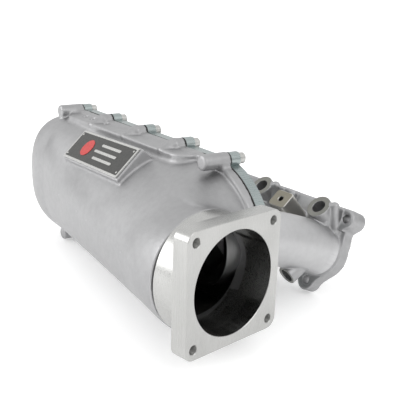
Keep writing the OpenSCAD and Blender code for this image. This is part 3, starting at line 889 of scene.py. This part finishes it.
def runner_plate():
    outline = rim_loop()
    screws = [(y, SCREW_Z[side]) for side in (1, -1) for y in SCREWS_Y]
    for y, z in screws:
        outline = with_stub(outline, y, z, BOSS_R)
    loops = [outline]
    loops += [ring_points(y, z, SCREW_CLEAR_R, 24) for y, z in screws]
    loops += [ring_points(y, RIM_Z, RUNNER_R + 0.05, 96) for y in CYLINDERS_Y]
    shape = moved(plate_mesh(loops, BACK_X - PLATE_X, 0.5), (PLATE_X, 0, 0), Y_AXIS, Z_AXIS, X_AXIS)
    piece = make_piece("runner_plate_milled", *shape, ["runner_plate"], "cast_aluminium")
    tidy_mesh(piece)
    return piece


SCREW_CLEAR_R = 3.3
STACK_BASE_R = 43.0
STACK_LIP_R = 41.0
STACK_EDGE = 2.0
STACK_H = 22.0
STACK_STEPS = 28


def velocity_stack(i):
    """A trumpet turned from one piece, with a rolled lip and a spigot in the plate."""
    plate = BACK_X - PLATE_X
    mouth = STACK_LIP_R - STACK_EDGE
    profile = [(RUNNER_BORE, 0.0)]
    for k in range(STACK_STEPS + 1):
        a = math.pi / 2 * k / STACK_STEPS
        profile.append((RUNNER_BORE + (mouth - RUNNER_BORE) * (1 - math.cos(a)),
                        plate + STACK_H * math.sin(a)))
    for k in range(1, 9):
        a = math.pi * (1 - k / 8)
        profile.append((mouth + STACK_EDGE / 2 * (1 + math.cos(a)),
                        plate + STACK_H + STACK_EDGE / 2 * math.sin(a)))
    profile += [(STACK_BASE_R - 0.4, plate + 0.4), (STACK_BASE_R, plate), (RUNNER_R, plate),
                (RUNNER_R, 0)]
    shape = moved(lathe(profile, 128), (BACK_X, CYLINDERS_Y[i], RIM_Z), Z_AXIS, Y_AXIS, -X_AXIS)
    piece = make_piece(f"velocity_stack_turned_{i + 1}", *shape, [f"velocity_stack_{i + 1}"],
                       "stack_aluminium")
    tidy_mesh(piece)
    use(piece, STACK)


WASHER_R = 6.25
WASHER_T = 1.2
SCREW_R = 3.0
SCREW_HEAD_R = 5.0
SCREW_HEAD_T = 6.0
SCREW_HEX_R = 2.9
SCREW_HEX_DEPTH = 3.0
SCREW_LENGTH = 29.5


def at_screws(shape):
    """Copies of a shape at each clamp screw, standing on the plate's back."""
    places = [(BACK_X, y, SCREW_Z[side]) for side in (1, -1) for y in SCREWS_Y]
    return joined(*[moved(shape, place, Y_AXIS, Z_AXIS, X_AXIS) for place in places])


def clamp_screws():
    """Socket head screws: a lathe profile whose socket is six-sided."""
    low = WASHER_T - SCREW_LENGTH
    shank = SCREW_R - 0.05
    head = WASHER_T + SCREW_HEAD_T
    profile = [(0, low), (shank - 0.6, low), (shank, low + 0.6), (shank, WASHER_T),
               (SCREW_HEAD_R - 0.3, WASHER_T), (SCREW_HEAD_R, WASHER_T + 0.3),
               (SCREW_HEAD_R, head - 0.7), (SCREW_HEAD_R - 0.7, head)]
    socket = [(SCREW_HEX_R + 0.4, head), (SCREW_HEX_R, head - 0.4),
              (SCREW_HEX_R, head - SCREW_HEX_DEPTH), (0, head - SCREW_HEX_DEPTH - 0.8)]
    points, faces = lathe(profile + socket, 48)
    points = np.array(points)
    angle = np.arctan2(points[:, 1], points[:, 0])
    hexagon = math.cos(math.pi / 6) / np.cos(np.mod(angle, math.pi / 3) - math.pi / 6)
    row = np.arange(len(points)) % len(profile + socket)
    sided = row >= len(profile)
    points[sided, :2] *= hexagon[sided][:, None]
    piece = make_piece("clamp_screws_socket_head", *at_screws((points, faces)), ["clamp_screws"],
                       "zinc_steel")
    tidy_mesh(piece)
    use(piece, ZINC)


def clamp_washers():
    profile = [(SCREW_CLEAR_R, 0), (WASHER_R, 0), (WASHER_R, WASHER_T - 0.3),
               (WASHER_R - 0.3, WASHER_T), (SCREW_CLEAR_R + 0.2, WASHER_T),
               (SCREW_CLEAR_R, WASHER_T - 0.2)]
    piece = make_piece("clamp_washers_turned", *at_screws(lathe(profile, 48)), ["clamp_washers"],
                       "zinc_steel")
    tidy_mesh(piece)
    use(piece, ZINC)


def fuel_rail_post(k):
    """A milled post with a blind threaded hole; its foot is buried in the flange."""
    upper = lean_axis(INJECTOR_LEAN)
    side = np.array([math.cos(INJECTOR_LEAN), 0, math.sin(INJECTOR_LEAN)])
    u, v = POST_D / 2, POST_W / 2
    corners = [(u, v, POST_CORNER), (-u, v, POST_CORNER), (-u, -v, POST_CORNER), (u, -v, POST_CORNER)]
    loops = [loop_points(corners), ring_points(0, 0, POST_THREAD_R, 32)]
    body = plate_mesh(loops, POST_LENGTH, 0.6)
    floor = POST_LENGTH - POST_THREAD_DEPTH
    plug = lathe([(0, 1), (POST_THREAD_R + 0.3, 1), (POST_THREAD_R + 0.3, floor), (0, floor - 1.5)], 32)
    face = np.array([POST_FACE[0], POSTS_Y[k], POST_FACE[1]])
    points, faces = joined(body, plug)
    middles = [sum((Vector(points[v]) for v in f), Vector()) / len(f) for f in faces]
    bore = np.array([math.hypot(c.x, c.y) < POST_THREAD_R + 0.2 for c in middles])
    top = np.array([c.z > POST_LENGTH - 0.1 for c in middles])
    shape = moved((points, faces), face - upper * POST_LENGTH, side, Y_AXIS, upper)
    piece = make_piece(f"fuel_rail_post_milled_{k + 1}", *shape, [f"fuel_rail_post_{k + 1}"],
                       "machined_aluminium")
    # The bore's walls get the painted shade of the threads, the sides painted light, and the top a tan
    # colour darkened as painted shade.
    use(piece, POST_SIDES_PAINTED_LIGHT, THREAD_PAINTED_SHADE, POST_TOP_TAN_PAINTED_SHADE)
    piece.data.polygons.foreach_set("material_index", np.where(bore, 1, 2 * top).astype(np.int32))
    tidy_mesh(piece)


# ---------- nameplate ----------

NAME_T = 1.6
NAME_FIELD_Z = 1.1
NAME_FIELD_T = 0.4
NAME_BORDER = 2.2
NAME_CORNER = 1.4
EMBLEM_Y = 28.0
EMBLEM_R = 10.0
EMBLEM_T = 0.5
BAR_GAP = 8.0
BAR_START = -36.5
BAR_END = 8.5
BAR_STEP = 6.0
BAR_R = 1.5
PIN_R = 1.15
PIN_INSET = 5.0


def on_nameplate(shape, lift=0.0):
    return moved(shape, NAME_POS + NAME_AXES[2] * lift, *NAME_AXES)


def name_rectangle(inset, corner):
    u = NAME_H / 2 - inset
    v = NAME_L / 2 - inset
    return loop_points([(u, v, corner), (-u, v, corner), (-u, -v, corner), (u, -v, corner)])


def bar_loop(u, v0, v1, half):
    """A bar with round ends along the nameplate."""
    loop = [Vector((u, v1)) + half * heading(k * 15) for k in range(13)]
    return loop + [Vector((u, v0)) + half * heading(180 + k * 15) for k in range(13)]


def nameplate():
    border = plate_mesh([name_rectangle(0, NAME_CORNER), name_rectangle(NAME_BORDER, 0.8)], NAME_T, 0.22)
    base = plate_mesh([name_rectangle(NAME_BORDER - 0.6, 1.0)], NAME_FIELD_Z - 0.2, 0.05)
    shape = joined(on_nameplate(border), on_nameplate(base, 0.2))
    piece = make_piece("nameplate_rim", *shape, ["nameplate"], "nameplate_metal")
    tidy_mesh(piece)
    use(piece, NAME_METAL)
    field = plate_mesh([name_rectangle(NAME_BORDER - 0.1, 0.9)], NAME_FIELD_T, 0.05)
    piece = make_piece("nameplate_enamel_field", *on_nameplate(field, NAME_FIELD_Z),
                       ["nameplate_field"], "nameplate_enamel")
    tidy_mesh(piece)
    use(piece, NAME_BLACK)
    lift = NAME_FIELD_Z + NAME_FIELD_T - 0.05
    disc = plate_mesh([ring_points(0, EMBLEM_Y, EMBLEM_R, 64)], EMBLEM_T, 0.12)
    bars = [
        plate_mesh([bar_loop(k * BAR_GAP, BAR_START, BAR_END - BAR_STEP * abs(k), BAR_R)],
                   EMBLEM_T, 0.12)
        for k in (-1, 0, 1)
    ]
    disc_faces = len(disc[1])
    piece = make_piece("nameplate_emblem_raised", *on_nameplate(joined(disc, *bars), lift),
                       ["nameplate_emblem"], "nameplate_emblem")
    bright = np.arange(len(piece.data.polygons)) >= disc_faces
    use(piece, NAME_RED, NAME_METAL)
    piece.data.polygons.foreach_set("material_index", bright.astype(np.int32))
    tidy_mesh(piece)
    dome = [(PIN_R * math.cos(a), NAME_T + 0.1 + 0.6 * math.sin(a))
            for a in (math.radians(k * 15) for k in range(6))]
    pin = lathe([(0, -4.5), (PIN_R - 0.2, -4.5), (PIN_R, -4)] + dome + [(0, NAME_T + 0.7)], 32)
    pins = []
    for su in (-1, 1):
        for sv in (-1, 1):
            points = np.array(pin[0]) + [su * (NAME_H / 2 - PIN_INSET), sv * (NAME_L / 2 - PIN_INSET), 0]
            pins.append((points, pin[1]))
    piece = make_piece("nameplate_pins_domed", *on_nameplate(joined(*pins)), ["nameplate_pins"],
                       "zinc_steel")
    tidy_mesh(piece)
    use(piece, ZINC)


# ---------- materials ----------

class Recipe:
    """A material under construction: a Principled shader and the nodes that feed it."""

    def __init__(self, name, metallic, roughness):
        self.material = bpy.data.materials.new(name)
        self.material.use_nodes = True
        self.tree = self.material.node_tree
        self.shader = self.tree.nodes["Principled BSDF"]
        self.shader.inputs["Metallic"].default_value = metallic
        self.shader.inputs["Roughness"].default_value = roughness
        self.place = self.node("ShaderNodeTexCoord").outputs["Object"]

    def node(self, kind, **settings):
        made = self.tree.nodes.new(kind)
        for key, value in settings.items():
            if key in made.inputs:
                made.inputs[key].default_value = value
            else:
                setattr(made, key, value)
        return made

    def link(self, source, target):
        self.tree.links.new(source, target)

    def noise(self, scale, detail=2.0, stretch=(1, 1, 1), turn=(0, 0, 0)):
        """Noise with a scale per metre; stretch squeezes it along each axis."""
        mapping = self.node("ShaderNodeMapping")
        mapping.inputs["Scale"].default_value = stretch
        mapping.inputs["Rotation"].default_value = turn
        self.link(self.place, mapping.inputs["Vector"])
        noise = self.node("ShaderNodeTexNoise")
        noise.inputs["Scale"].default_value = scale
        noise.inputs["Detail"].default_value = detail
        self.link(mapping.outputs["Vector"], noise.inputs["Vector"])
        return noise.outputs["Fac"]

    def remap(self, value, low, high, start=0.3, end=0.7):
        ranged = self.node("ShaderNodeMapRange")
        for key, number in zip(("From Min", "From Max", "To Min", "To Max"), (start, end, low, high)):
            ranged.inputs[key].default_value = number
        self.link(value, ranged.inputs["Value"])
        return ranged.outputs["Result"]

    def blend(self, value, first, second):
        """A colour between two, by a value from 0 to 1."""
        mixer = self.node("ShaderNodeMix", data_type="RGBA")
        self.link(value, mixer.inputs["Factor"])
        for socket, colour in zip([s for s in mixer.inputs if s.type == "RGBA"], (first, second)):
            if isinstance(colour, tuple):
                socket.default_value = (*colour, 1)
            else:
                self.link(colour, socket)
        return next(s for s in mixer.outputs if s.type == "RGBA")

    def math(self, operation, a, b):
        node = self.node("ShaderNodeMath", operation=operation)
        for socket, value in zip(node.inputs, (a, b)):
            if isinstance(value, (int, float)):
                socket.default_value = value
            else:
                self.link(value, socket)
        return node.outputs[0]

    def edges(self, start, end):
        """From 0 on flat places to 1 on outer edges."""
        geometry = self.node("ShaderNodeNewGeometry")
        return self.remap(geometry.outputs["Pointiness"], 0.0, 1.0, start, end)

    def colour(self, value):
        self.link(value, self.shader.inputs["Base Color"])

    def roughness(self, value):
        self.link(value, self.shader.inputs["Roughness"])

    def bump(self, value, depth_mm, strength=1.0):
        bump = self.node("ShaderNodeBump")
        bump.inputs["Strength"].default_value = strength
        bump.inputs["Distance"].default_value = depth_mm * MM
        self.link(value, bump.inputs["Height"])
        if self.shader.inputs["Normal"].links:
            self.link(self.shader.inputs["Normal"].links[0].from_socket, bump.inputs["Normal"])
        self.link(bump.outputs["Normal"], self.shader.inputs["Normal"])


def cast_metal(name, dark, light, grain=0.10):
    """Fine sand-cast metal: a grainy skin with slow changes of tone, and edges lightened as wear and as
    a painted highlight.
    """
    m = Recipe(name, 1.0, 0.5)
    slow = m.remap(m.noise(22, 3), 0, 1)
    cloudy = m.remap(m.noise(160, 3), 0, 1)
    tone = m.math("ADD", m.math("MULTIPLY", slow, 0.6), m.math("MULTIPLY", cloudy, 0.4))
    body = m.blend(tone, dark, light)
    # Outer edges are lightened: partly wear, partly a painted highlight on the bright thin edges.
    rubbed_and_highlit_edges = m.edges(0.52, 0.60)
    worn_and_highlit = tuple(min(1, c * 1.18) for c in light)
    m.colour(m.blend(rubbed_and_highlit_edges, body, worn_and_highlit))
    grit = m.noise(900, 4)
    m.roughness(m.remap(m.math("ADD", m.math("MULTIPLY", grit, 0.5), m.math("MULTIPLY", slow, 0.5)),
                        0.42, 0.58))
    m.bump(grit, grain)
    m.bump(m.noise(300, 2), grain * 1.2)
    return m.material


def machined_metal(name, dark, light, stretch, turn=(0, 0, 0), rough=(0.22, 0.36), depth=0.02):
    """Milled or turned metal with fine marks along one direction."""
    m = Recipe(name, 1.0, 0.3)
    marks = m.noise(1, 3, stretch, turn)
    slow = m.remap(m.noise(30, 2), 0, 1)
    tone = m.math("ADD", m.math("MULTIPLY", m.remap(marks, 0, 1), 0.5), m.math("MULTIPLY", slow, 0.5))
    m.colour(m.blend(tone, dark, light))
    m.roughness(m.remap(marks, rough[0], rough[1]))
    m.bump(marks, depth)
    m.bump(m.noise(1500, 2), depth * 0.4)
    return m.material


def enamel(name, dark, light, rough):
    m = Recipe(name, 0.0, rough)
    m.colour(m.blend(m.remap(m.noise(400, 3), 0, 1), dark, light))
    m.roughness(m.remap(m.noise(900, 3), rough - 0.08, rough + 0.1))
    m.bump(m.noise(2500, 2), 0.01)
    return m.material


def fibre(name, dark, light):
    """Pressed gasket fibre."""
    m = Recipe(name, 0.0, 0.85)
    m.colour(m.blend(m.remap(m.noise(700, 4), 0, 1), dark, light))
    m.roughness(m.remap(m.noise(300, 2), 0.75, 0.92))
    m.bump(m.noise(1800, 3), 0.05)
    return m.material


CAST = cast_metal("cast_aluminium", (0.345, 0.345, 0.35), (0.42, 0.42, 0.425))
# A lighter copy of the cast metal for the runners: painted light, for the brighter light the runners
# catch.
RUNNER_CAST_PAINTED_LIGHT = cast_metal("cast_aluminium_runner_painted_light", (0.47, 0.47, 0.475), (0.55, 0.55, 0.555), 0.05)
# A near-black copy of the cast metal: painted shade for the unlit inside of the plenum.
CAST_PAINTED_SHADE = cast_metal("cast_aluminium_inside_painted_shade", (0.085, 0.083, 0.078), (0.13, 0.127, 0.12))
MILLED = machined_metal("machined_aluminium", (0.41, 0.41, 0.40), (0.50, 0.50, 0.49),
                        (2600, 2600, 40))
MILLED_FACE = machined_metal("machined_boss_face", (0.19, 0.19, 0.175), (0.26, 0.26, 0.24),
                             (900, 900, 900), rough=(0.3, 0.45))
PLATE = machined_metal("machined_plate", (0.29, 0.33, 0.33), (0.37, 0.41, 0.405), (40, 2600, 2600))
STACK = machined_metal("turned_stack", (0.14, 0.14, 0.14), (0.20, 0.20, 0.198), (2400, 60, 60),
                       rough=(0.3, 0.45))
# A darker copy of the machined metal for threads: painted shade for the shadowed insides of holes.
THREAD_PAINTED_SHADE = machined_metal("machined_thread_painted_shade", (0.16, 0.16, 0.155), (0.26, 0.26, 0.25),
                        (900, 900, 900), rough=(0.4, 0.55))
# The post's top and sides are copies of one machined metal: the top is tan and darkened as painted
# shade, the sides lightened as painted light.
POST_TOP_TAN_PAINTED_SHADE = machined_metal("machined_post_top_tan_painted_shade", (0.22, 0.205, 0.165), (0.30, 0.285, 0.235),
                          (900, 60, 900), rough=(0.3, 0.5))
POST_SIDES_PAINTED_LIGHT = machined_metal("machined_post", (0.46, 0.45, 0.42), (0.56, 0.55, 0.52),
                            (900, 60, 900), rough=(0.3, 0.5))
ZINC = machined_metal("zinc_plated_steel", (0.40, 0.40, 0.39), (0.55, 0.55, 0.53), (500, 500, 500),
                      rough=(0.25, 0.4))
GASKET = fibre("gasket_fibre", (0.02, 0.02, 0.02), (0.05, 0.05, 0.048))
NAME_METAL = machined_metal("nameplate_metal", (0.50, 0.50, 0.49), (0.62, 0.62, 0.60), (60, 1800, 1800))
NAME_BLACK = enamel("nameplate_black", (0.012, 0.013, 0.011), (0.03, 0.03, 0.027), 0.35)
NAME_RED = enamel("nameplate_red", (0.42, 0.02, 0.018), (0.55, 0.035, 0.03), 0.35)


def use(piece, *materials):
    piece.data.materials.clear()
    for material in materials:
        piece.data.materials.append(material)


# The plenum's inside faces get the painted shade.
plenum, plenum_painted_shade = plenum_casting()
use(plenum, CAST, CAST_PAINTED_SHADE)
plenum.data.polygons.foreach_set("material_index", plenum_painted_shade.astype(np.int32))
throttle_flange()
use(nodes["plenum_gasket"], GASKET)
use(runner_plate(), PLATE)
for i in range(4):
    velocity_stack(i)
    # The runners get the lighter cast metal, painted light.
    use(nodes[f"runner_{i + 1}"], RUNNER_CAST_PAINTED_LIGHT)
    injector_boss(f"injector_boss_cast_{i + 1}", f"injector_boss_{i + 1}", i, upper_face(i),
                  lean_axis(INJECTOR_LEAN), INJECTOR_R, INJECTOR_BORE_DEPTH, INJECTOR_JET_R)
    injector_boss(f"lower_injector_boss_cast_{i + 1}", f"lower_injector_boss_{i + 1}", i,
                  lower_face(i), lean_axis(LOWER_LEAN), LOWER_R, LOWER_BORE_DEPTH, LOWER_JET_R)
use(head_casting(), CAST)
for k in range(2):
    fuel_rail_post(k)
clamp_screws()
clamp_washers()
nameplate()


# ---------- camera, floor and light ----------

CAMERA_POS = Vector((-0.3533, -0.4357, 0.2353))
CAMERA_HEADING = math.radians(35.95)
CAMERA_DOWN = math.radians(16.54)
CAMERA_ROLL = math.radians(1.96)
LENS = 67.6
FLOOR_GLOW = 0.28        # keeps the soft shadows on the paper pale


def add_camera():
    camera = bpy.data.objects.new("camera", bpy.data.cameras.new("camera"))
    bpy.context.scene.collection.objects.link(camera)
    camera.data.lens = LENS
    camera.data.sensor_width = 36
    camera.data.clip_start = 0.01
    camera.data.clip_end = 100
    turn = Matrix.Rotation(-CAMERA_HEADING, 4, "Z")
    tilt = Matrix.Rotation(math.pi / 2 - CAMERA_DOWN, 4, "X")
    roll = Matrix.Rotation(CAMERA_ROLL, 4, "Z")
    camera.matrix_world = Matrix.Translation(CAMERA_POS) @ turn @ tilt @ roll
    bpy.context.scene.camera = camera


def add_floor():
    low = cad_box[0]
    z = low[2] - 0.0005
    mesh = bpy.data.meshes.new("floor")
    mesh.from_pydata([(-40, -40, z), (40, -40, z), (40, 40, z), (-40, 40, z)], [], [(0, 1, 2, 3)])
    floor = bpy.data.objects.new("floor", mesh)
    bpy.context.scene.collection.objects.link(floor)
    m = Recipe("floor_paper", 0.0, 0.9)
    m.colour(m.blend(m.remap(m.noise(3, 2), 0, 1), (0.93, 0.93, 0.93), (0.95, 0.95, 0.95)))
    m.shader.inputs["Emission Color"].default_value = (1, 1, 1, 1)
    m.shader.inputs["Emission Strength"].default_value = FLOOR_GLOW
    floor.data.materials.append(m.material)


def area_light(name, position, target, size, power):
    data = bpy.data.lights.new(name, "AREA")
    data.shape = "RECTANGLE"
    data.size, data.size_y = size
    data.energy = power
    light = bpy.data.objects.new(name, data)
    bpy.context.scene.collection.objects.link(light)
    aim = (Vector(target) - Vector(position)).to_track_quat("-Z", "Y")
    light.matrix_world = Matrix.Translation(position) @ aim.to_matrix().to_4x4()


def add_world():
    world = bpy.data.worlds.new("studio")
    world.use_nodes = True
    tree = world.node_tree
    background = tree.nodes["Background"]
    place = tree.nodes.new("ShaderNodeTexCoord")
    split = tree.nodes.new("ShaderNodeSeparateXYZ")
    ramp = tree.nodes.new("ShaderNodeMapRange")
    ramp.inputs["From Max"].default_value = 0.3
    ramp.inputs["To Min"].default_value = 0.40
    ramp.inputs["To Max"].default_value = 1.08
    tree.links.new(place.outputs["Generated"], split.inputs[0])
    tree.links.new(split.outputs["Z"], ramp.inputs["Value"])
    tree.links.new(ramp.outputs["Result"], background.inputs["Color"])
    bpy.context.scene.world = world


add_camera()
add_floor()
add_world()
middle = (0.0, 0.2, 0.0)
area_light("key", (-1.25, 0.95, 0.6), middle, (1.1, 0.9), 8)
area_light("fill", (0.3, -1.3, 1.2), middle, (1.2, 0.9), 4.5)
bpy.context.scene.view_settings.view_transform = "Standard"
